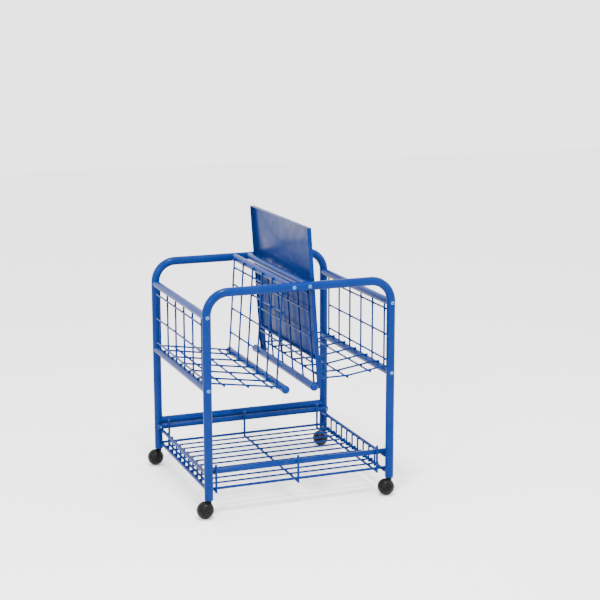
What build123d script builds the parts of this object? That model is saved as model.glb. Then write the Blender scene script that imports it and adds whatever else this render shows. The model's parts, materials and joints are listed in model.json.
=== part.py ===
from build123d import *

import os
from math import atan2, cos, degrees, radians, sin, sqrt, tan

# Wheeled newspaper and big-book rack: a tube frame on ball casters, with two wire baskets and a wire tray.
# Millimetres. The origin is on the floor, midway between the four legs. +Z is up, -Y is the front and
# +X is the right-hand side. Each piece goes to its own STEP file in parts/.

# Frame
LEG_X = 275.0  # leg centre from the middle, left and right
LEG_Y = 257.5  # leg centre from the middle, front and rear
TOP_Z = 637.0  # centre line of the top rails
LEG_END_Z = 51.0  # lower end of the legs
FRAME_R = 12.5
FRAME_BEND_R = 62.0
WALL = 2.0
CROSS_TUBE_R = 12.0
CROSS_TUBE_Z = 139.2

# Basket rails and wires
RAIL_R = 11.0
UPPER_RAIL_Z = 571.0
LOWER_RAIL_Z = 366.0
WIRE_R = 2.75
WELD = 0.15  # how far a welded wire sinks into what it crosses
SEAM = 0.03  # how far it sinks into a face that it lies along
STATION_PITCH = 85.0
STATION_COUNT = 6
STATIONS = [(i - (STATION_COUNT - 1) / 2) * STATION_PITCH for i in range(STATION_COUNT)]
STRINGER_END_Y = STATIONS[-1] + 13.5
STRINGER_PITCH = 75.0
SIDE_STRINGER_Z = [LOWER_RAIL_Z + 28 + i * STRINGER_PITCH for i in range(3)]

# Divider: two leaning wire walls under the middle of the top rails
DIVIDER_TOP_X = 23.25
DIVIDER_FOOT_X = 43.0
DIVIDER_FOOT_Z = 343.0
LEAN = degrees(atan2(DIVIDER_FOOT_X - DIVIDER_TOP_X, TOP_Z - DIVIDER_FOOT_Z))
FOOT_TUBE_END_Y = 249.0
CAP_R = 12.0
DIVIDER_STRINGER_Z = [407.0, 482.0, 557.0, 609.0]

# Basket floors
FLOOR_WIRE_PITCH = 86.0
FLOOR_END_WIRE_Y = 238.0
FLOOR_WIRE_Y = [-FLOOR_END_WIRE_Y, *(i * FLOOR_WIRE_PITCH for i in range(-2, 3)), FLOOR_END_WIRE_Y]
FLOOR_ROD_X = [80.0, 150.0, 220.0]
FLAT_FLOOR_Z = 363.6
UPTURN_TOP_Z = 428.0

# Tall divider panel
PANEL_OFFSET = 24.0  # middle of the sheet, out from the wire wall's tubes
SHEET = 1.2
PANEL_TOP_Z = 795.0
PANEL_HEM_Z = 418.0
PANEL_FOOT_Z = 333.0
PANEL_HALF_Y = 242.0
PANEL_LEG = 24.0
FLANGE = 12.0  # depth of the folds along the top and the upright edges
HEM_FOLD = 7.0
HEM_ROD_R = 3.0
PANEL_SCREW_Y = 222.0

# Tray
RIM_R = 8.0
RIM_Y = LEG_Y - FRAME_R - RIM_R
RIM_Z = 125.0
RIM_HALF_X = LEG_X + 6.0
BASE_ROD_R = 4.0
BASE_ROD_Z = 76.0
BASE_HALF_X = 272.0
SIDE_ROD_R = 5.0
SIDE_ROD_X = 268.0
SIDE_ROD_Z = [BASE_ROD_Z - BASE_ROD_R - SIDE_ROD_R + WELD, RIM_Z - RIM_R - SIDE_ROD_R + WELD]
TRAY_UPRIGHT_R = 3.5
TRAY_UPRIGHT_X = [-250.0, -5.0, 240.0]
TRAY_UPRIGHT_TOP_Z = 147.0
TRAY_STATION_PITCH = 42.5
TRAY_WIRE_SHIFT = 2 * WIRE_R + 0.2  # wall wires stand beside the floor wires

# Fasteners
BOLT_R = 3.0
BOLT_HEAD_R = 5.5
BOLT_HEAD_H = 3.2
SPOT_DEPTH = 1.0  # flat pressed into a tube under a bolt head
INSERT_LENGTH = 14.0
BOLT_REACH = 10.0  # thread inside an insert
CLEAR = 0.05  # radial gap between a fastener and what it sits in

# Ball casters
BALL_R = 25.0
HOOD_R = 24.6
TRAIL = 14.0
TRAIL_ANGLE = 205.0  # from +X, as parked
AXLE_TILT = 48.0
WHEEL_CAP = 62.0  # half-angle of the wheel's share of the ball
HOOD_CAP = 64.0  # half-angle where the hood begins
SHELL = 3.4
AXLE_R = 2.5
STEM_R = 5.0
STEM_BOSS_R = 8.0
STEM_LOW_Z = 34.0
STEM_HIGH_Z = 84.0
RUNNING = 0.06

UPWARD = (Align.CENTER, Align.CENTER, Align.MIN)
DOWNWARD = (Align.CENTER, Align.CENTER, Align.MAX)
CORNERS = {"front_left": (-1, -1), "front_right": (1, -1), "rear_left": (-1, 1), "rear_right": (1, 1)}


def save(shape, name):
    """Labels a finished piece and writes it as its own STEP file."""
    shape.label = name
    export_step(shape, f"parts/{name}.step")


def rods(runs, radius, bore=0.0):
    """Straight round rods, or tubes with a bore, from point to point."""
    with BuildPart() as group:
        for start, end in runs:
            run = Vector(*end) - Vector(*start)
            with BuildSketch(Plane(origin=start, z_dir=run)):
                Circle(radius)
                if bore:
                    Circle(bore, mode=Mode.SUBTRACT)
            extrude(amount=run.length)
    return group.part


def bent_wires(paths, radius, bend):
    """Round wires along polylines with rounded corners."""
    with BuildPart() as group:
        for points in paths:
            with BuildLine() as line:
                FilletPolyline(*points, radius=bend)
            with BuildSketch(Plane(origin=line.line @ 0, z_dir=line.line % 0)):
                Circle(radius)
            sweep(path=line.line)
    return group.part


def wall_point(side, z, offset, y):
    """A point on a divider wall: side is -1 left or +1 right, offset is out from the tubes' plane."""
    lean = radians(LEAN)
    x = DIVIDER_TOP_X + (TOP_Z - z) * tan(lean) + offset * cos(lean)
    return (side * x, y, z + offset * sin(lean))


# ---------------------------------------------------------------- frame


def bolt_planes_y(x, z, reach):
    """Planes on the outer face of the front and rear tubes, with z_dir pointing outwards."""
    return [Plane(origin=(x, s * reach, z), x_dir=(1, 0, 0), z_dir=(0, s, 0)) for s in (-1, 1)]


def rail_bolt_planes(face=LEG_Y + FRAME_R - SPOT_DEPTH):
    """Where the basket rails' and the divider tubes' bolts seat, front and rear."""
    places = [(s * LEG_X, z) for s in (-1, 1) for z in (UPPER_RAIL_Z, LOWER_RAIL_Z)]
    places += [(s * DIVIDER_TOP_X, TOP_Z) for s in (-1, 1)]
    return [p for x, z in places for p in bolt_planes_y(x, z, face)]


def bent_tube(side, radius, bore=0.0):
    """Leg, top rail and leg as one sweep; side is -1 front or +1 rear."""
    y = side * LEG_Y
    with BuildPart() as tube:
        with BuildLine(Plane.XZ.offset(-y)) as path:
            FilletPolyline(
                (-LEG_X, LEG_END_Z), (-LEG_X, TOP_Z), (LEG_X, TOP_Z), (LEG_X, LEG_END_Z), radius=FRAME_BEND_R
            )
        with BuildSketch(Plane(origin=(-LEG_X, y, LEG_END_Z), z_dir=(0, 0, 1))):
            Circle(radius)
            if bore:
                Circle(bore, mode=Mode.SUBTRACT)
        sweep(path=path.line)
    return tube.part


def end_frame(side):
    """End frame: the bent tube with its bolt holes and the flats under the bolt heads."""
    y = side * LEG_Y
    with BuildPart() as frame:
        add(bent_tube(side, FRAME_R, FRAME_R - WALL))
        with Locations(*[p for p in rail_bolt_planes() if p.z_dir.Y * side > 0]):
            Cylinder(BOLT_R + CLEAR, 4 * FRAME_R, mode=Mode.SUBTRACT)
            Cylinder(BOLT_HEAD_R + 0.5, 2 * SPOT_DEPTH, align=UPWARD, mode=Mode.SUBTRACT)
        inner = [
            Plane(origin=(s * LEG_X, y - side * FRAME_R, RIM_Z), x_dir=(1, 0, 0), z_dir=(0, side, 0))
            for s in (-1, 1)
        ]
        with Locations(*inner):
            Cylinder(BOLT_R + CLEAR, 3 * WALL, mode=Mode.SUBTRACT)
    return frame.part


def coped_tube(start, end, radius=RAIL_R):
    """A tube whose ends are cut to sit round the end frames that it meets."""
    with BuildPart() as tube:
        add(rods([(start, end)], radius, radius - WALL))
        for side in (-1, 1):
            add(bent_tube(side, FRAME_R), mode=Mode.SUBTRACT)
    return tube.part


def rail(x, z):
    """A front-to-rear tube between the two end frames."""
    reach = LEG_Y - FRAME_R / 2
    return coped_tube((x, -reach, z), (x, reach, z))


def rear_cross_tube():
    """Tube between the rear legs, above the tray's rear rim."""
    reach = LEG_X - FRAME_R / 2
    return coped_tube((-reach, LEG_Y, CROSS_TUBE_Z), (reach, LEG_Y, CROSS_TUBE_Z), CROSS_TUBE_R)


def rail_inserts():
    """Threaded plugs in the ends of the rails and of the divider's top tubes."""
    inner = LEG_Y - FRAME_R - INSERT_LENGTH
    with BuildPart() as inserts:
        with Locations(*rail_bolt_planes(inner)):
            Cylinder(RAIL_R - WALL - CLEAR, INSERT_LENGTH - 1, align=UPWARD)
            Cylinder(BOLT_R + CLEAR, 3 * INSERT_LENGTH, mode=Mode.SUBTRACT)
    return inserts.part


def headed_bolts(planes, length):
    """Dome-headed bolts: each head stands on its plane, and the shank goes down from it."""
    with BuildPart() as bolts:
        with Locations(*planes):
            Cylinder(BOLT_HEAD_R, BOLT_HEAD_H, align=UPWARD)
        crowns = [e for e in bolts.edges().filter_by(GeomType.CIRCLE) if on_crown(e, planes)]
        fillet(crowns, BOLT_HEAD_H * 0.85)
        with Locations(*planes):
            Cylinder(BOLT_R, length, align=DOWNWARD)
    return bolts.part


def on_crown(edge, planes):
    """True for the outer edge of a bolt head's top."""
    centre = edge.arc_center
    return any((centre - (p.origin + p.z_dir * BOLT_HEAD_H)).length < 0.01 for p in planes)


# ---------------------------------------------------------------- baskets


def side_wall(side):
    """Outer wire wall of a basket: uprights between the two rails, then stringers on their outer side."""
    x = side * LEG_X
    reach = LEG_Y - FRAME_R
    with BuildPart() as uprights:
        add(rods([((x, y, LOWER_RAIL_Z), (x, y, UPPER_RAIL_Z)) for y in STATIONS], WIRE_R))
        rails = [((x, -reach, z), (x, reach, z)) for z in (LOWER_RAIL_Z, UPPER_RAIL_Z)]
        add(rods(rails, RAIL_R), mode=Mode.SUBTRACT)
    outer = x + side * (2 * WIRE_R - WELD)
    stringers = [((outer, -STRINGER_END_Y, z), (outer, STRINGER_END_Y, z)) for z in SIDE_STRINGER_Z]
    return uprights.part, rods(stringers, WIRE_R)


def divider_wall(side):
    """Leaning wire wall of the divider: uprights, then stringers behind them."""
    out = RAIL_R + WIRE_R - WELD
    uprights = [
        (wall_point(side, DIVIDER_FOOT_Z - 6, out, y), wall_point(side, TOP_Z + 4, out, y)) for y in STATIONS
    ]
    back = out - 2 * WIRE_R + WELD
    stringers = [
        (wall_point(side, z, back, -STRINGER_END_Y), wall_point(side, z, back, STRINGER_END_Y))
        for z in DIVIDER_STRINGER_Z
    ]
    return rods(uprights, WIRE_R), rods(stringers, WIRE_R)


def foot_tube(side):
    """Free-ended tube along the foot of a divider wall."""
    x = side * DIVIDER_FOOT_X
    run = ((x, -FOOT_TUBE_END_Y, DIVIDER_FOOT_Z), (x, FOOT_TUBE_END_Y, DIVIDER_FOOT_Z))
    return rods([run], RAIL_R, RAIL_R - WALL)


def foot_caps():
    """Ball caps on the four free ends of the foot tubes, each with a thin skirt round the tube."""
    plug = 6.0
    planes = [
        Plane(origin=(x, s * FOOT_TUBE_END_Y, DIVIDER_FOOT_Z), x_dir=(1, 0, 0), z_dir=(0, s, 0))
        for x in (-DIVIDER_FOOT_X, DIVIDER_FOOT_X)
        for s in (-1, 1)
    ]
    with BuildPart() as caps:
        with Locations(*planes):
            Sphere(CAP_R)
            Cylinder(RAIL_R, 2 * CAP_R, align=DOWNWARD, mode=Mode.SUBTRACT)
            Cylinder(RAIL_R - WALL - CLEAR, plug, align=DOWNWARD)
    return caps.part


RAIL_TOP_WIRE_Z = LOWER_RAIL_Z + RAIL_R + WIRE_R - WELD
LEFT_FLOOR_END = (-DIVIDER_FOOT_X - RAIL_R + 3, DIVIDER_FOOT_Z + 6)
FLOOR_BREAK_X = LEG_X - RAIL_R - 6
RIGHT_FLAT_X = FLOOR_ROD_X[1]


def floor_z(side, x):
    """Height of a basket's floor wires at x, measured out from the middle."""
    if side < 0:
        end_x, end_z = -LEFT_FLOOR_END[0], LEFT_FLOOR_END[1]
    else:
        end_x, end_z = RIGHT_FLAT_X, FLAT_FLOOR_Z
    share = max(0.0, (x - end_x) / (FLOOR_BREAK_X - end_x))
    return end_z + share * (RAIL_TOP_WIRE_Z - end_z)


def left_floor_wires():
    """Cross wires from over the left rail down to the side of the left foot tube."""
    paths = []
    for y in FLOOR_WIRE_Y:
        paths.append(
            [
                (-LEG_X - 4, y, RAIL_TOP_WIRE_Z),
                (-FLOOR_BREAK_X, y, RAIL_TOP_WIRE_Z),
                (LEFT_FLOOR_END[0], y, LEFT_FLOOR_END[1]),
            ]
        )
    with BuildPart() as wires:
        add(bent_wires(paths, WIRE_R, 12))
        foot = [(-DIVIDER_FOOT_X, s * FOOT_TUBE_END_Y, DIVIDER_FOOT_Z) for s in (-1, 1)]
        add(rods([foot], RAIL_R), mode=Mode.SUBTRACT)
    return wires.part


def right_floor_wires():
    """Cross wires from over the right rail, level near the divider, then up the face of the panel."""
    face = PANEL_OFFSET + SHEET / 2 + WIRE_R - SEAM
    paths = []
    for y in FLOOR_WIRE_Y:
        paths.append(
            [
                (LEG_X + 4, y, RAIL_TOP_WIRE_Z),
                (FLOOR_BREAK_X, y, RAIL_TOP_WIRE_Z),
                (RIGHT_FLAT_X, y, FLAT_FLOOR_Z),
                wall_point(1, FLAT_FLOOR_Z - face * sin(radians(LEAN)), face, y),
                wall_point(1, UPTURN_TOP_Z, face, y),
            ]
        )
    return bent_wires(paths, WIRE_R, 9)


def floor_rods(side):
    """Front-to-rear rods welded under a basket's floor wires, as far as the end wires."""
    reach = FLOOR_END_WIRE_Y + WIRE_R
    runs = []
    for x in FLOOR_ROD_X:
        slope = (floor_z(side, x + 1) - floor_z(side, x - 1)) / 2
        z = floor_z(side, x) - (2 * WIRE_R - WELD) * sqrt(1 + slope**2)
        runs.append(((side * x, -reach, z), (side * x, reach, z)))
    return rods(runs, WIRE_R)


# ---------------------------------------------------------------- divider panel


def panel_plane(z, offset=PANEL_OFFSET):
    """Plane of the sheet at height z: local x is +Y, local y runs up the sheet, z_dir faces right."""
    lean = radians(LEAN)
    return Plane(origin=wall_point(1, z, offset, 0), x_dir=(0, 1, 0), z_dir=(cos(lean), 0, sin(lean)))


def panel_screw_planes(offset):
    """Screw places near the panel's front and rear edges, at the top tube and at the foot tube."""
    planes = []
    for z in (TOP_Z, DIVIDER_FOOT_Z):
        base = panel_plane(z, offset)
        for y in (-PANEL_SCREW_Y, PANEL_SCREW_Y):
            planes.append(Plane(origin=base.origin + Vector(0, y, 0), x_dir=(0, 1, 0), z_dir=base.z_dir))
    return planes


def divider_panel():
    """Tall sheet with folded edges; two legs carry it down to the foot tube past an open strip."""
    base = panel_plane(PANEL_FOOT_Z)
    rise = 1 / cos(radians(LEAN))
    height = (PANEL_TOP_Z - PANEL_FOOT_Z) * rise
    hem = (PANEL_HEM_Z - PANEL_FOOT_Z) * rise
    with BuildPart() as panel:
        with BuildSketch(base):
            with Locations((0, height / 2)):
                Rectangle(2 * PANEL_HALF_Y, height)
            with Locations((0, hem / 2)):
                Rectangle(2 * (PANEL_HALF_Y - PANEL_LEG), hem, mode=Mode.SUBTRACT)
        extrude(amount=SHEET / 2, both=True)
        with BuildSketch(base):
            for edge in (-1, 1):
                with Locations((edge * (PANEL_HALF_Y - SHEET / 2), height / 2)):
                    Rectangle(SHEET, height)
            with Locations((0, height - SHEET / 2)):
                Rectangle(2 * PANEL_HALF_Y, SHEET)
        extrude(amount=-FLANGE)
        with BuildSketch(base):
            with Locations((0, hem + SHEET / 2)):
                Rectangle(2 * (PANEL_HALF_Y - PANEL_LEG), SHEET)
        extrude(amount=-HEM_FOLD)
        with Locations(*panel_screw_planes(PANEL_OFFSET)):
            Cylinder(BOLT_R + CLEAR, 6 * SHEET, mode=Mode.SUBTRACT)
    return panel.part


def hem_rod():
    """Stiffening rod under the fold at the sheet's lower edge."""
    z = PANEL_HEM_Z - HEM_ROD_R
    offset = PANEL_OFFSET - SHEET / 2 - HEM_ROD_R
    reach = PANEL_HALF_Y - PANEL_LEG - 1
    return rods([(wall_point(1, z, offset, -reach), wall_point(1, z, offset, reach))], HEM_ROD_R)


def panel_spacers():
    """Sleeves that hold the panel off the divider's tubes."""
    length = PANEL_OFFSET - SHEET / 2 - RAIL_R
    with BuildPart() as spacers:
        with Locations(*panel_screw_planes(RAIL_R)):
            Cylinder(5, length, align=UPWARD)
            Cylinder(BOLT_R + CLEAR, 3 * length, mode=Mode.SUBTRACT)
    return spacers.part


def drilled_for_panel(tube):
    """A divider tube with the panel's screw holes."""
    with BuildPart() as drilled:
        add(tube)
        with Locations(*panel_screw_planes(RAIL_R)):
            Cylinder(BOLT_R + CLEAR, 3 * WALL, mode=Mode.SUBTRACT)
    return drilled.part


# ---------------------------------------------------------------- tray


def tray_rim(side):
    """Front or rear rim rod, screwed to the inner sides of two legs."""
    y = side * RIM_Y
    with BuildPart() as rim:
        add(rods([((-RIM_HALF_X, y, RIM_Z), (RIM_HALF_X, y, RIM_Z))], RIM_R))
        with Locations(*[p for p in tray_screw_planes() if p.origin.Y * side > 0]):
            Cylinder(BOLT_R + CLEAR, 4 * RIM_R, mode=Mode.SUBTRACT)
            Cylinder(BOLT_HEAD_R + 0.5, 2 * SPOT_DEPTH, align=UPWARD, mode=Mode.SUBTRACT)
    return rim.part


def tray_screw_planes():
    """Screw seats on the inner faces of the rims, opposite the legs."""
    face = RIM_Y - RIM_R + SPOT_DEPTH
    return [
        Plane(origin=(x, s * face, RIM_Z), x_dir=(1, 0, 0), z_dir=(0, -s, 0))
        for x in (-LEG_X, LEG_X)
        for s in (-1, 1)
    ]


def tray_side_rods():
    """Upper and lower side rods, under the rims and under the base rods."""
    reach = RIM_Y + RIM_R / 2
    runs = [((s * SIDE_ROD_X, -reach, z), (s * SIDE_ROD_X, reach, z)) for s in (-1, 1) for z in SIDE_ROD_Z]
    return rods(runs, SIDE_ROD_R)


def tray_base_rods():
    """Front and rear rods at the level of the tray's floor."""
    inner = RIM_R - BASE_ROD_R
    rows = (-RIM_Y - inner, RIM_Y - inner)
    return rods([((-BASE_HALF_X, y, BASE_ROD_Z), (BASE_HALF_X, y, BASE_ROD_Z)) for y in rows], BASE_ROD_R)


def tray_uprights():
    """Upright rods: in front of the front rim, and on the inner side of the rear rim."""
    low = BASE_ROD_Z - BASE_ROD_R - 2 * TRAY_UPRIGHT_R
    out = RIM_R + TRAY_UPRIGHT_R - WELD
    rows = (-RIM_Y - out, RIM_Y - out)
    return rods([((x, y, low), (x, y, TRAY_UPRIGHT_TOP_Z)) for x in TRAY_UPRIGHT_X for y in rows], TRAY_UPRIGHT_R)


def tray_bearers():
    """Front-to-rear rods under the tray's floor, between the uprights."""
    z = BASE_ROD_Z - BASE_ROD_R - TRAY_UPRIGHT_R + WELD
    front = -RIM_Y - RIM_R + WELD
    rear = RIM_Y - RIM_R - 2 * TRAY_UPRIGHT_R + WELD + SEAM
    return rods([((x, front, z), (x, rear, z)) for x in TRAY_UPRIGHT_X], TRAY_UPRIGHT_R)


TRAY_WIRE_Z = SIDE_ROD_Z[0] + SIDE_ROD_R + WIRE_R - WELD
TRAY_WIRE_Y = [(i - 4.5) * TRAY_STATION_PITCH for i in range(10)]
TRAY_WALL_X = SIDE_ROD_X - SIDE_ROD_R - WIRE_R + SEAM


def tray_floor_wires():
    """Cross wires that make the tray's floor."""
    reach = SIDE_ROD_X + 2
    return rods([((-reach, y, TRAY_WIRE_Z), (reach, y, TRAY_WIRE_Z)) for y in TRAY_WIRE_Y], WIRE_R)


def tray_wall_wires():
    """Short uprights between the upper and lower side rods, one beside each floor wire."""
    low, high = SIDE_ROD_Z
    runs = []
    for s in (-1, 1):
        for floor_y in TRAY_WIRE_Y:
            y = floor_y + TRAY_WIRE_SHIFT
            runs.append(((s * TRAY_WALL_X, y, low - 3), (s * TRAY_WALL_X, y, high + 3)))
    return rods(runs, WIRE_R)


# ---------------------------------------------------------------- casters


def caster_frame(corner):
    """Ball centre and direction of the wheel's axle for one caster as parked."""
    sx, sy = CORNERS[corner]
    heading = radians(TRAIL_ANGLE)
    tilt = radians(AXLE_TILT)
    centre = Vector(sx * LEG_X + TRAIL * cos(heading), sy * LEG_Y + TRAIL * sin(heading), BALL_R)
    out = 1 if sx < 0 else -1  # the wheels face outwards on both sides
    across = Vector(-sin(heading), cos(heading), 0) * -out
    axis = across * cos(tilt) + Vector(0, 0, -sin(tilt))
    return centre, axis


def revolve_profile(corner, points_and_arcs):
    """Revolves a profile drawn in (radius, along-axis) coordinates about the wheel's axle."""
    centre, axis = caster_frame(corner)
    radial = axis.cross(Vector(0, 0, 1)).normalized()
    plane = Plane(origin=centre, x_dir=radial, z_dir=radial.cross(axis))
    with BuildPart() as part:
        with BuildSketch(plane):
            with BuildLine():
                points_and_arcs()
            make_face()
        revolve(axis=Axis(centre, axis))
    return part.part


def on_ball(radius, angle):
    """Profile point on a sphere: angle from the axle's outer end."""
    return (radius * sin(radians(angle)), radius * cos(radians(angle)))


def caster_wheel(corner):
    """Wheel: the lower, outer cap of the ball, with a hub that turns on the axle."""
    inner = BALL_R - SHELL
    hub_r = 5.5
    bore = AXLE_R + RUNNING
    hub_low = 1.0
    web_at = sqrt(inner**2 - hub_r**2)

    def profile():
        Line((bore, hub_low), (hub_r, hub_low))
        Line((hub_r, hub_low), (hub_r, web_at))
        ThreePointArc((hub_r, web_at), on_ball(inner, WHEEL_CAP * 0.6), on_ball(inner, WHEEL_CAP))
        Line(on_ball(inner, WHEEL_CAP), on_ball(BALL_R, WHEEL_CAP))
        face = sqrt(BALL_R**2 - bore**2)
        ThreePointArc(on_ball(BALL_R, WHEEL_CAP), on_ball(BALL_R, WHEEL_CAP * 0.5), (bore, face))
        Line((bore, face), (bore, hub_low))

    return revolve_profile(corner, profile)


def caster_axle(corner):
    """Axle pin, fixed in the hood, with a flat head let into the wheel's crown."""
    centre, axis = caster_frame(corner)
    low, high = -BALL_R + 1.5, BALL_R - 0.6
    with BuildPart() as axle:
        with BuildSketch(Plane(origin=centre + axis * low, z_dir=axis)):
            Circle(AXLE_R)
        extrude(amount=high - low)
    return axle.part


def caster_hood(corner):
    """Hood: the rest of the ball, with a post for the axle and a boss for the swivel stem."""
    inner = HOOD_R - SHELL
    post_r = 5.0
    post_high = 0.6
    seat = -sqrt(inner**2 - post_r**2)
    back = -BALL_R + 1.5

    def profile():
        Line((0, -HOOD_R), (0, back))
        Line((0, back), (AXLE_R, back))
        Line((AXLE_R, back), (AXLE_R, post_high))
        Line((AXLE_R, post_high), (post_r, post_high))
        Line((post_r, post_high), (post_r, seat))
        ThreePointArc((post_r, seat), on_ball(inner, 110), on_ball(inner, HOOD_CAP))
        Line(on_ball(inner, HOOD_CAP), on_ball(HOOD_R, HOOD_CAP))
        ThreePointArc(on_ball(HOOD_R, HOOD_CAP), on_ball(HOOD_R, 120), (0, -HOOD_R))

    sx, sy = CORNERS[corner]
    with BuildPart() as hood:
        add(revolve_profile(corner, profile))
        with Locations((sx * LEG_X, sy * LEG_Y, STEM_LOW_Z - 2)):
            Cylinder(STEM_BOSS_R, LEG_END_Z - STEM_LOW_Z + 1, align=UPWARD)
        with Locations((sx * LEG_X, sy * LEG_Y, STEM_LOW_Z)):
            Cylinder(STEM_R + RUNNING, 3 * BALL_R, align=UPWARD, mode=Mode.SUBTRACT)
    return hood.part


def caster_stem(corner):
    """Swivel stem, fixed in its socket in the leg, with a collar under the socket."""
    sx, sy = CORNERS[corner]
    with BuildPart() as stem:
        with Locations((sx * LEG_X, sy * LEG_Y, STEM_LOW_Z + 0.3)):
            Cylinder(STEM_R, STEM_HIGH_Z - STEM_LOW_Z, align=UPWARD)
    return stem.part


def caster_socket(corner):
    """Sleeve pressed into the leg, with a rim that closes the leg's end."""
    sx, sy = CORNERS[corner]
    with BuildPart() as socket:
        with Locations((sx * LEG_X, sy * LEG_Y, LEG_END_Z)):
            Cylinder(FRAME_R - WALL - CLEAR / 2, STEM_HIGH_Z - LEG_END_Z, align=UPWARD)
            Cylinder(STEM_R + CLEAR / 2, 3 * STEM_HIGH_Z, mode=Mode.SUBTRACT)
    return socket.part


def main():
    os.makedirs("parts", exist_ok=True)
    save(end_frame(-1), "front_frame")
    save(end_frame(1), "rear_frame")
    save(rear_cross_tube(), "rear_cross_tube")
    for side, name in ((-1, "left"), (1, "right")):
        save(rail(side * LEG_X, UPPER_RAIL_Z), f"{name}_upper_rail")
        save(rail(side * LEG_X, LOWER_RAIL_Z), f"{name}_lower_rail")
        uprights, stringers = side_wall(side)
        save(uprights, f"{name}_side_uprights")
        save(stringers, f"{name}_side_stringers")
        uprights, stringers = divider_wall(side)
        save(uprights, f"{name}_divider_uprights")
        save(stringers, f"{name}_divider_stringers")
        save(floor_rods(side), f"{name}_floor_rods")
        top = rail(side * DIVIDER_TOP_X, TOP_Z)
        foot = foot_tube(side)
        if side > 0:
            top, foot = drilled_for_panel(top), drilled_for_panel(foot)
        save(top, f"{name}_divider_top_tube")
        save(foot, f"{name}_divider_foot_tube")
    save(left_floor_wires(), "left_floor_wires")
    save(right_floor_wires(), "right_floor_wires")
    save(foot_caps(), "divider_foot_caps")
    save(rail_inserts(), "rail_inserts")
    save(headed_bolts(rail_bolt_planes(), 2 * FRAME_R + BOLT_REACH), "rail_bolts")
    save(divider_panel(), "divider_panel")
    save(hem_rod(), "panel_hem_rod")
    save(panel_spacers(), "panel_spacers")
    screw_length = PANEL_OFFSET - RAIL_R + WALL + 4
    save(headed_bolts(panel_screw_planes(PANEL_OFFSET + SHEET / 2), screw_length), "panel_screws")
    save(tray_rim(-1), "tray_front_rim")
    save(tray_rim(1), "tray_rear_rim")
    save(tray_side_rods(), "tray_side_rods")
    save(tray_base_rods(), "tray_base_rods")
    save(tray_uprights(), "tray_uprights")
    save(tray_bearers(), "tray_bearers")
    save(tray_floor_wires(), "tray_floor_wires")
    save(tray_wall_wires(), "tray_wall_wires")
    save(headed_bolts(tray_screw_planes(), 2 * RIM_R + WALL + 2), "tray_screws")
    for corner in CORNERS:
        save(caster_wheel(corner), f"{corner}_caster_wheel")
        save(caster_axle(corner), f"{corner}_caster_axle")
        save(caster_hood(corner), f"{corner}_caster_hood")
        save(caster_stem(corner), f"{corner}_caster_stem")
        save(caster_socket(corner), f"{corner}_caster_socket")


main()
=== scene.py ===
import json
import math

import bmesh
import bpy
import numpy as np
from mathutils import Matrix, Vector, noise

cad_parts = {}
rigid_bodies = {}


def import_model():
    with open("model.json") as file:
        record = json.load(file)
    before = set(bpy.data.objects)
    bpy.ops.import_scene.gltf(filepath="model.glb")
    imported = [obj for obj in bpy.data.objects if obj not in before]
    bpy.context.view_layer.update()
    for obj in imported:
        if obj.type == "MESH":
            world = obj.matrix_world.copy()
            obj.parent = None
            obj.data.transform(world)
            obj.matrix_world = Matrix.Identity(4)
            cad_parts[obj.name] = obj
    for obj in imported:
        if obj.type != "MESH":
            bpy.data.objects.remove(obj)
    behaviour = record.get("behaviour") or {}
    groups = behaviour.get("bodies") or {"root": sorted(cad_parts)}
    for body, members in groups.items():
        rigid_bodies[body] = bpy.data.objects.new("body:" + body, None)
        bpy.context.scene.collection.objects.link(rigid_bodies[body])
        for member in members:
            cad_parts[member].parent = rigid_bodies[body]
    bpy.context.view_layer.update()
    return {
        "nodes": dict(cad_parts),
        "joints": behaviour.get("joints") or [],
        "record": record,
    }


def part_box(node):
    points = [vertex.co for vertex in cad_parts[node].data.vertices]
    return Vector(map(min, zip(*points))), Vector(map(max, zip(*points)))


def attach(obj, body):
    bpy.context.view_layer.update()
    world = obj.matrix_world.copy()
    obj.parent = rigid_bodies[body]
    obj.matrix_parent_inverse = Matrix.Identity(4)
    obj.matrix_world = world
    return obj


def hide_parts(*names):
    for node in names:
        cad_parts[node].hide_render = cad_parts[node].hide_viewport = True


# Looks for the wheeled newspaper rack. Metres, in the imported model's frame: -Y is the front, +Z is up.
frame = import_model()
MM = 0.001

WIRE_R = 2.75 * MM
RAIL_R = 11 * MM
RIM_R = 8 * MM
BASE_ROD_R = 4 * MM
SIDE_ROD_R = 5 * MM
UPRIGHT_ROD_R = 3.5 * MM
CONTACT_SLACK = 0.5 * MM
BUTT_COSINE = 0.8  # a rod whose direction is this close to the contact normal meets the other end-on
BALL_R = 25 * MM
HOOD_R = 24.6 * MM
HOOD_RIM_ANGLES = (63.2, 65.4)
SHANK_R = 3.0 * MM
HEAD_H = 3.2 * MM
SOCKET_R = 1.9 * MM
SOCKET_DEPTH = 1.9 * MM


# ---------------------------------------------------------------- camera, light and floor


def add_camera():
    """The main view: from the front and a little to the left, just above the top rails."""
    data = bpy.data.cameras.new("camera")
    data.sensor_width = 36.0
    data.lens = 87.6
    data.shift_x = -0.0181
    data.shift_y = -0.0080
    data.clip_end = 50.0
    camera = bpy.data.objects.new("camera", data)
    camera.location = (-1.4225, -3.9635, 1.4259)
    forward = Vector((0.35745, 0.91210, -0.20077))
    camera.rotation_euler = forward.to_track_quat("-Z", "Y").to_euler()
    bpy.context.scene.collection.objects.link(camera)
    bpy.context.scene.camera = camera


def add_area_light(name, place, target, size, power):
    """A square softbox that faces its target."""
    data = bpy.data.lights.new(name, "AREA")
    data.shape = "SQUARE"
    data.size = size
    data.energy = power
    lamp = bpy.data.objects.new(name, data)
    lamp.location = place
    aim = Vector(target) - Vector(place)
    lamp.rotation_euler = aim.to_track_quat("-Z", "Y").to_euler()
    bpy.context.scene.collection.objects.link(lamp)


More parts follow.
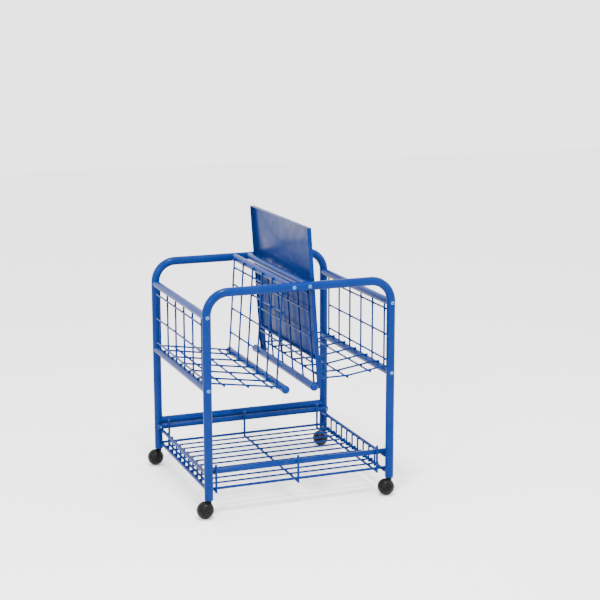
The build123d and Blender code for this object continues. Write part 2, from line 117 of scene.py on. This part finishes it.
def add_studio():
    """White surround, a pale floor and three softboxes."""
    world = bpy.data.worlds.new("studio")
    bpy.context.scene.world = world
    world.use_nodes = True
    background = world.node_tree.nodes["Background"]
    background.inputs["Color"].default_value = (1.0, 1.0, 1.0, 1.0)
    background.inputs["Strength"].default_value = 3.0
    middle = (0.0, 0.0, 0.4)
    add_area_light("overhead", (-0.3, -0.9, 2.6), middle, 0.32, 85.0)
    add_area_light("key", (-2.2, -2.4, 2.2), middle, 0.26, 65.0)
    add_area_light("fill", (2.4, -1.6, 1.4), middle, 0.5, 14.0)

    half = 8.0
    mesh = bpy.data.meshes.new("floor")
    corners = [(-half, -half, 0), (half, -half, 0), (half, half, 0), (-half, half, 0)]
    mesh.from_pydata(corners, [], [(0, 1, 2, 3)])
    floor = bpy.data.objects.new("floor", mesh)
    bpy.context.scene.collection.objects.link(floor)
    material = bpy.data.materials.new("floor")
    material.use_nodes = True
    shader = material.node_tree.nodes["Principled BSDF"]
    shader.inputs["Base Color"].default_value = (0.93, 0.93, 0.93, 1.0)
    shader.inputs["Roughness"].default_value = 0.75
    mesh.materials.append(material)


# ---------------------------------------------------------------- materials


class Nodes:
    """Short ways to add and join shader nodes in one material."""

    def __init__(self, name):
        self.material = bpy.data.materials.new(name)
        self.material.use_nodes = True
        self.tree = self.material.node_tree
        self.shader = self.tree.nodes["Principled BSDF"]
        self.place = self.tree.nodes.new("ShaderNodeTexCoord").outputs["Object"]

    def link(self, source, target):
        self.tree.links.new(source, target)

    def noise(self, scale, detail=3.0, stretch=None):
        """Noise in object space; stretch scales the coordinates along X, Y and Z."""
        node = self.tree.nodes.new("ShaderNodeTexNoise")
        node.inputs["Scale"].default_value = scale
        node.inputs["Detail"].default_value = detail
        source = self.place
        if stretch:
            mapping = self.tree.nodes.new("ShaderNodeMapping")
            mapping.inputs["Scale"].default_value = stretch
            self.link(source, mapping.inputs["Vector"])
            source = mapping.outputs["Vector"]
        self.link(source, node.inputs["Vector"])
        return node.outputs["Fac"]

    def remap(self, value, low, high, to_low, to_high):
        node = self.tree.nodes.new("ShaderNodeMapRange")
        node.inputs["From Min"].default_value = low
        node.inputs["From Max"].default_value = high
        node.inputs["To Min"].default_value = to_low
        node.inputs["To Max"].default_value = to_high
        self.link(value, node.inputs["Value"])
        return node.outputs["Result"]

    def multiply(self, first, second):
        node = self.tree.nodes.new("ShaderNodeMath")
        node.operation = "MULTIPLY"
        self.link(first, node.inputs[0])
        self.link(second, node.inputs[1])
        return node.outputs["Value"]

    def mix(self, share, first, second):
        """Mix of two colours; each is an RGB triple or an output."""
        node = self.tree.nodes.new("ShaderNodeMix")
        node.data_type = "RGBA"
        self.link(share, node.inputs["Factor"])
        for socket, colour in ((node.inputs[6], first), (node.inputs[7], second)):
            if isinstance(colour, tuple):
                socket.default_value = (*colour, 1.0)
            else:
                self.link(colour, socket)
        return node.outputs[2]

    def bump(self, height, strength, distance, under=None):
        node = self.tree.nodes.new("ShaderNodeBump")
        node.inputs["Strength"].default_value = strength
        node.inputs["Distance"].default_value = distance
        self.link(height, node.inputs["Height"])
        if under:
            self.link(under, node.inputs["Normal"])
        return node.outputs["Normal"]

    def height_z(self):
        node = self.tree.nodes.new("ShaderNodeSeparateXYZ")
        self.link(self.place, node.inputs["Vector"])
        return node.outputs["Z"]


def powder_coat(name, colour, roughness, peel):
    """Glossy powder coat: orange peel, faint thick and thin places, rub marks, and scuffs low on the legs."""
    n = Nodes(name)
    deep = tuple(c * 0.93 for c in colour)
    thin = tuple(min(1.0, c * 1.05 + 0.001) for c in colour)
    cloud = n.remap(n.noise(14.0, 4.0), 0.35, 0.65, 0.0, 1.0)
    coat = n.mix(cloud, deep, thin)
    speck = n.remap(n.noise(950.0, 1.0), 0.70, 0.76, 0.0, 0.35)
    coat = n.mix(speck, coat, deep)
    rub = n.remap(n.noise(60.0, 5.0, (1.0, 1.0, 0.25)), 0.63, 0.72, 0.0, 1.0)
    low = n.remap(n.height_z(), 0.05, 0.20, 0.32, 0.03)
    scuff = n.multiply(rub, low)
    coat = n.mix(scuff, coat, (0.03, 0.07, 0.15))
    n.link(coat, n.shader.inputs["Base Color"])
    rough = n.remap(n.noise(32.0, 4.0), 0.3, 0.7, roughness - 0.05, roughness + 0.08)
    n.link(rough, n.shader.inputs["Roughness"])
    coarse = n.bump(n.noise(peel, 2.0), 0.20, 0.00025)
    fine = n.bump(n.noise(peel * 4.5, 2.0), 0.10, 0.00008, coarse)
    n.link(fine, n.shader.inputs["Normal"])
    n.shader.inputs["Specular IOR Level"].default_value = 0.06
    n.shader.inputs["Coat Weight"].default_value = 0.035
    n.shader.inputs["Coat Roughness"].default_value = 0.10
    n.shader.inputs["IOR"].default_value = 1.5
    return n.material


def moulded_plastic(name, colour, roughness, worn):
    """Black moulded plastic with a fine grain, dull rub marks and dust."""
    n = Nodes(name)
    dust = n.remap(n.noise(120.0, 6.0), 0.48, 0.75, 0.0, worn)
    n.link(n.mix(dust, colour, (0.035, 0.034, 0.032)), n.shader.inputs["Base Color"])
    rough = n.remap(n.noise(70.0, 4.0), 0.3, 0.7, roughness - 0.06, roughness + 0.14)
    n.link(rough, n.shader.inputs["Roughness"])
    grain = n.bump(n.noise(2600.0, 2.0), 0.18, 0.00006)
    scratch = n.bump(n.noise(300.0, 3.0, (1.0, 1.0, 0.12)), 0.12, 0.00008, grain)
    n.link(scratch, n.shader.inputs["Normal"])
    n.shader.inputs["Specular IOR Level"].default_value = 0.09
    return n.material


def plated_steel(name):
    """Zinc-plated steel with drawn lines."""
    n = Nodes(name)
    tone = n.remap(n.noise(90.0, 5.0), 0.3, 0.7, 0.0, 1.0)
    n.link(n.mix(tone, (0.50, 0.50, 0.49), (0.68, 0.67, 0.63)), n.shader.inputs["Base Color"])
    n.link(n.remap(n.noise(160.0, 4.0), 0.3, 0.7, 0.22, 0.42), n.shader.inputs["Roughness"])
    lines = n.bump(n.noise(900.0, 3.0, (1.0, 1.0, 0.05)), 0.25, 0.00005)
    n.link(lines, n.shader.inputs["Normal"])
    n.shader.inputs["Metallic"].default_value = 1.0
    return n.material


BLUE = (0.0, 0.0150, 0.108)
MATERIALS = {
    "tube_paint": powder_coat("tube_paint", BLUE, 0.27, 340.0),
    "wire_paint": powder_coat("wire_paint", tuple(c * 0.96 for c in BLUE), 0.29, 420.0),
    "panel_paint": powder_coat("panel_paint", tuple(c * 0.90 for c in BLUE), 0.33, 300.0),
    # Fasteners: the pale blue base colour is a painted highlight, lighter than the tube paint, standing in
    # for bright glints on the bolt heads.
    "painted_fasteners": powder_coat("painted_fasteners", (0.055, 0.150, 0.340), 0.20, 500.0),
    "cap_paint": powder_coat("cap_paint", BLUE, 0.30, 460.0),
    "plated_steel": plated_steel("plated_steel"),
    "socket_plastic": moulded_plastic("socket_plastic", (0.0050, 0.0050, 0.0056), 0.55, 0.25),
    "caster_hood": moulded_plastic("caster_hood", (0.0022, 0.0024, 0.0027), 0.34, 0.14),
    "caster_wheel": moulded_plastic("caster_wheel", (0.0028, 0.0030, 0.0033), 0.38, 0.35),
}


def dress_cad():
    """Gives every CAD node the material of its slot."""
    for row in frame["record"]["subparts"]:
        mesh = frame["nodes"][row["node"]].data
        mesh.materials.clear()
        mesh.materials.append(MATERIALS[row["material_slot"]])


# ---------------------------------------------------------------- reading the frame


def welded_copy(node):
    """A bmesh of a CAD node with the vertices along its hard edges joined again."""
    bm = bmesh.new()
    bm.from_mesh(frame["nodes"][node].data)
    bmesh.ops.remove_doubles(bm, verts=bm.verts, dist=1e-6)
    return bm


def solids(node):
    """Vertex coordinates of each separate solid in a CAD node."""
    bm = welded_copy(node)
    seen, groups = set(), []
    for start in bm.verts:
        if start in seen:
            continue
        seen.add(start)
        stack, group = [start], []
        while stack:
            vert = stack.pop()
            group.append(tuple(vert.co))
            for edge in vert.link_edges:
                other = edge.other_vert(vert)
                if other not in seen:
                    seen.add(other)
                    stack.append(other)
        groups.append(np.array(group))
    bm.free()
    return groups


def long_axis(points):
    """The two ends of a straight rod's centre line."""
    middle = points.mean(axis=0)
    direction = np.linalg.svd(points - middle)[2][0]
    along = (points - middle) @ direction
    return Vector(middle + direction * along.min()), Vector(middle + direction * along.max())


def rods(node, radius):
    """(start, end, radius) of each straight rod in a node."""
    return [(*long_axis(points), radius) for points in solids(node)]


def box_axis(node, radius):
    """(start, end, radius) of a left-to-right rod with holes or notches, from the box round it."""
    low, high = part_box(node)
    y = (low.y + high.y) / 2
    z = (low.z + high.z) / 2
    return [(Vector((low.x, y, z)), Vector((high.x, y, z)), radius)]


# ---------------------------------------------------------------- weld beads


def nearest(first, second):
    """Closest points of two rods' centre lines."""
    a, b, _ = first
    c, d, _ = second
    u, v, w = b - a, d - c, a - c
    uu, uv, vv = u.dot(u), u.dot(v), v.dot(v)
    spread = uu * vv - uv * uv
    if spread < 1e-12:
        return None
    s = (uv * v.dot(w) - vv * u.dot(w)) / spread
    s = min(1.0, max(0.0, s))
    t = min(1.0, max(0.0, (v.dot(w) + s * uv) / vv))
    return a + u * s, c + v * t


def crossings(first_rods, second_rods):
    """(point, normal, direction) at each place where a rod of one set touches one of the other."""
    found = []
    for first in first_rods:
        for second in second_rods:
            pair = nearest(first, second)
            if not pair:
                continue
            gap = pair[1] - pair[0]
            if gap.length < 1e-6 or gap.length > first[2] + second[2] + CONTACT_SLACK:
                continue
            normal = gap.normalized()
            direction = (second[1] - second[0]).normalized()
            if abs(direction.dot(normal)) > BUTT_COSINE:
                direction = (first[1] - first[0]).normalized()
            found.append((pair[0] + normal * first[2], normal, direction))
    return found


def floor_crossings(wires, rod_node):
    """Where a basket floor's bent wires lie on its rods."""
    rows = [points[:, 1].mean() for points in solids(wires)]
    found = []
    for start, _, radius in rods(rod_node, WIRE_R):
        for y in rows:
            found.append((Vector((start.x, y, start.z + radius)), Vector((0, 0, 1)), Vector((1, 0, 0))))
    return found


def rail_crossings(wires, rail):
    """Where a basket floor's wires lie over the lower side rail."""
    low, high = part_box(rail)
    rows = [points[:, 1].mean() for points in solids(wires)]
    x = (low.x + high.x) / 2
    return [(Vector((x, y, high.z)), Vector((0, 0, 1)), Vector((1, 0, 0))) for y in rows]


BEAD_LENGTH = 4.2 * MM
BEAD_WIDTH = 3.3 * MM
BEAD_HEIGHT = 1.5 * MM


def weld_beads(name, places):
    """Painted-over spot welds: low uneven lumps that fill the corners round each crossing."""
    bm = bmesh.new()
    for number, (point, normal, direction) in enumerate(places):
        side = normal.cross(direction).normalized()
        along = side.cross(normal).normalized()
        lump = bmesh.ops.create_icosphere(bm, subdivisions=3, radius=1.0)["verts"]
        for vert in lump:
            unit = vert.co.copy()
            swell = 1.0 + 0.16 * noise.noise(unit * 1.7 + Vector((number * 3.1, 0.0, 0.0)))
            vert.co = point + swell * (
                along * unit.x * BEAD_LENGTH + side * unit.y * BEAD_WIDTH + normal * unit.z * BEAD_HEIGHT
            )
    return finish_mesh(name, bm, "wire_paint", "rack")


def finish_mesh(name, bm, slot, body):
    """Turns a bmesh into a piece with a material, on a body."""
    bmesh.ops.recalc_face_normals(bm, faces=bm.faces)
    mesh = bpy.data.meshes.new(name)
    bm.to_mesh(mesh)
    bm.free()
    for polygon in mesh.polygons:
        polygon.use_smooth = True
    mesh.materials.append(MATERIALS[slot])
    piece = bpy.data.objects.new(name, mesh)
    bpy.context.scene.collection.objects.link(piece)
    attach(piece, body)
    return piece


def add_weld_beads():
    for side in ("left", "right"):
        uprights = rods(f"{side}_side_uprights", WIRE_R)
        wall = crossings(uprights, rods(f"{side}_side_stringers", WIRE_R))
        for rail in ("upper", "lower"):
            wall += crossings(rods(f"{side}_{rail}_rail", RAIL_R), uprights)
        weld_beads(f"{side}_side_welds", wall)

        uprights = rods(f"{side}_divider_uprights", WIRE_R)
        wall = crossings(uprights, rods(f"{side}_divider_stringers", WIRE_R))
        for tube in ("top", "foot"):
            wall += crossings(rods(f"{side}_divider_{tube}_tube", RAIL_R), uprights)
        weld_beads(f"{side}_divider_welds", wall)

        floor = floor_crossings(f"{side}_floor_wires", f"{side}_floor_rods")
        floor += rail_crossings(f"{side}_floor_wires", f"{side}_lower_rail")
        weld_beads(f"{side}_floor_welds", floor)

    base = rods("tray_base_rods", BASE_ROD_R)
    sides = rods("tray_side_rods", SIDE_ROD_R)
    rims = box_axis("tray_front_rim", RIM_R) + box_axis("tray_rear_rim", RIM_R)
    floor_wires = rods("tray_floor_wires", WIRE_R)
    wall_wires = rods("tray_wall_wires", WIRE_R)
    uprights = rods("tray_uprights", UPRIGHT_ROD_R)
    bearers = rods("tray_bearers", UPRIGHT_ROD_R)
    tray = crossings(sides, floor_wires) + crossings(sides, wall_wires) + crossings(bearers, floor_wires)
    tray += crossings(rims, sides) + crossings(base, sides)
    tray += crossings(rims, uprights) + crossings(base, uprights) + crossings(base, bearers)
    weld_beads("tray_welds", tray)


# ---------------------------------------------------------------- turned pieces


def turned(bm, profile, place, axis, steps=48, hexagonal=()):
    """Adds a closed turned form. profile holds (radius, height) from the axis back to the axis; rings whose
    numbers are in hexagonal are six-sided, with radius as the distance to a flat."""
    up = Vector(axis).normalized()
    across = up.orthogonal().normalized()
    third = up.cross(across)
    rings = []
    for number, (radius, height) in enumerate(profile):
        centre = Vector(place) + up * height
        if radius == 0:
            rings.append([bm.verts.new(centre)])
            continue
        ring = []
        for step in range(steps):
            angle = 2 * math.pi * step / steps
            reach = radius
            if number in hexagonal:
                sector = math.pi / 3
                reach = radius / math.cos((angle + sector / 2) % sector - sector / 2)
            ring.append(bm.verts.new(centre + reach * (across * math.cos(angle) + third * math.sin(angle))))
        rings.append(ring)
    for lower, upper in zip(rings, rings[1:]):
        for step in range(steps):
            after = (step + 1) % steps
            if len(lower) == 1:
                bm.faces.new((lower[0], upper[step], upper[after]))
            elif len(upper) == 1:
                bm.faces.new((lower[step], upper[0], lower[after]))
            else:
                bm.faces.new((lower[step], upper[step], upper[after], lower[after]))


def screw_profile(head_r, length):
    """Dome head with a hexagon socket, then the shank, from the top down."""
    return [
        (0, -SOCKET_DEPTH - 0.5 * MM),
        (SOCKET_R * 0.55, -SOCKET_DEPTH - 0.2 * MM),
        (SOCKET_R, -SOCKET_DEPTH),
        (SOCKET_R, -0.18 * MM),
        (SOCKET_R * 1.12, -0.04 * MM),
        (SOCKET_R * 1.35, 0.0),
        (head_r * 0.62, -0.22 * MM),
        (head_r * 0.82, -0.85 * MM),
        (head_r * 0.95, -1.75 * MM),
        (head_r, -2.6 * MM),
        (head_r, -HEAD_H + 0.12 * MM),
        (head_r * 0.98, -HEAD_H),
        (SHANK_R, -HEAD_H),
        (SHANK_R, -length + 0.5 * MM),
        (SHANK_R - 0.5 * MM, -length),
        (0, -length),
    ]


def socket_screws(node):
    """Replaces a node's plain bolts with dome heads that have hexagon sockets and soft edges."""
    bm = bmesh.new()
    for points in solids(node):
        start, end = long_axis(points)
        axis = (end - start).normalized()
        offsets = points - np.array(start)
        along = offsets @ np.array(axis)
        radial = np.linalg.norm(offsets - np.outer(along, np.array(axis)), axis=1)
        head_is_at_start = radial[along < along.mean()].max() > radial[along > along.mean()].max()
        if head_is_at_start:
            start, end = end, start
            axis = -axis
        profile = screw_profile(float(radial.max()), (end - start).length)
        turned(bm, profile, end, axis, hexagonal=(1, 2, 3, 4))
    piece = finish_mesh(f"{node}_detailed", bm, "painted_fasteners", "rack")
    sharpen(piece, 40)
    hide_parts(node)


def sharpen(piece, degrees):
    """Smooth shading that breaks at edges sharper than the angle."""
    mesh = piece.data
    bm = bmesh.new()
    bm.from_mesh(mesh)
    for edge in bm.edges:
        edge.smooth = len(edge.link_faces) == 2 and edge.calc_face_angle() < math.radians(degrees)
    bm.to_mesh(mesh)
    bm.free()


def softened(node, slot, width):
    """Replaces a CAD node by a copy with its hard edges rounded off, as folded or pressed metal has them."""
    bm = welded_copy(node)
    flat = math.radians(1.0)
    bmesh.ops.dissolve_limit(bm, angle_limit=flat, verts=bm.verts, edges=bm.edges)
    piece = finish_mesh(f"{node}_softened", bm, slot, "rack")
    bevel = piece.modifiers.new("soft_edges", "BEVEL")
    bevel.width = width
    bevel.segments = 3
    bevel.limit_method = "ANGLE"
    bevel.angle_limit = math.radians(50)
    bevel.harden_normals = True
    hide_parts(node)


# ---------------------------------------------------------------- casters



def ball_point(radius, degrees):
    return (radius * math.sin(math.radians(degrees)), radius * math.cos(math.radians(degrees)))


def hub_cap(name, centre, axis, body):
    """Stepped cap on the wheel's crown, hollow underneath to clear the axle's end."""
    crown = BALL_R
    profile = [
        (0, crown + 0.55 * MM),
        (1.6 * MM, crown + 0.5 * MM),
        (2.6 * MM, crown + 0.30 * MM),
        (2.9 * MM, crown - 0.05 * MM),
        (3.3 * MM, crown - 0.10 * MM),
        (3.6 * MM, crown + 0.15 * MM),
        (6.2 * MM, crown - 0.40 * MM),
        (7.0 * MM, crown - 0.85 * MM),
        (7.3 * MM, crown - 1.6 * MM),
        (2.75 * MM, crown - 1.7 * MM),
        (2.75 * MM, crown - 0.5 * MM),
        (0, crown - 0.5 * MM),
    ]
    bm = bmesh.new()
    turned(bm, profile, centre, axis)
    sharpen(finish_mesh(name, bm, "caster_wheel", body), 50)


def ring(name, profile, place, axis, slot, body):
    """A turned ring: profile is a closed loop of (radius, height)."""
    bm = bmesh.new()
    up = Vector(axis).normalized()
    across = up.orthogonal().normalized()
    third = up.cross(across)
    steps = 72
    loops = []
    for step in range(steps):
        angle = 2 * math.pi * step / steps
        out = across * math.cos(angle) + third * math.sin(angle)
        loops.append([bm.verts.new(Vector(place) + out * radius + up * height) for radius, height in profile])
    for step in range(steps):
        here, there = loops[step], loops[(step + 1) % steps]
        for k in range(len(profile)):
            after = (k + 1) % len(profile)
            bm.faces.new((here[k], there[k], there[after], here[after]))
    sharpen(finish_mesh(name, bm, slot, body), 50)


def hood_lip(name, centre, axis, body):
    """Rounded lip in the hood's open edge."""
    first, last = HOOD_RIM_ANGLES
    outer = HOOD_R - 0.015 * MM
    inner = HOOD_R - 0.9 * MM
    middle = (first + last) / 2
    profile = [
        ball_point(inner, first),
        ball_point(outer - 0.22 * MM, first),
        ball_point(outer, middle - 0.5),
        ball_point(outer, middle + 0.5),
        ball_point(outer - 0.25 * MM, last),
        ball_point(inner, last),
    ]
    ring(name, profile, centre, axis, "caster_hood", body)


def stem_collar(name, place):
    """Thin flange of the plastic socket, under the leg's cut end."""
    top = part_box("front_frame")[0].z
    inner, outer = 5.3 * MM, 12.2 * MM
    profile = [
        (inner, 0.0),
        (outer, 0.0),
        (outer, -0.35 * MM),
        (outer - 0.3 * MM, -0.6 * MM),
        (inner + 0.2 * MM, -0.6 * MM),
        (inner, -0.4 * MM),
    ]
    ring(name, profile, (place[0], place[1], top), (0, 0, 1), "socket_plastic", "rack")


def add_caster_details():
    joints = {joint["name"]: joint for joint in frame["joints"]}
    for end in ("front", "rear"):
        for side in ("left", "right"):
            corner = f"{end}_{side}"
            roll = joints[f"{corner}_wheel_roll"]
            turn = joints[f"{corner}_swivel_turn"]
            hub_cap(f"{corner}_hub_cap", roll["pos_m"], roll["axis"], roll["child"])
            hood_lip(f"{corner}_hood_lip", roll["pos_m"], roll["axis"], roll["parent"])
            stem_collar(f"{corner}_stem_collar", turn["pos_m"])


add_camera()
add_studio()
dress_cad()
add_weld_beads()
for bolts in ("rail_bolts", "panel_screws", "tray_screws"):
    socket_screws(bolts)
softened("divider_panel", "panel_paint", 0.45 * MM)
softened("tray_front_rim", "tube_paint", 0.9 * MM)
softened("tray_rear_rim", "tube_paint", 0.9 * MM)
add_caster_details()
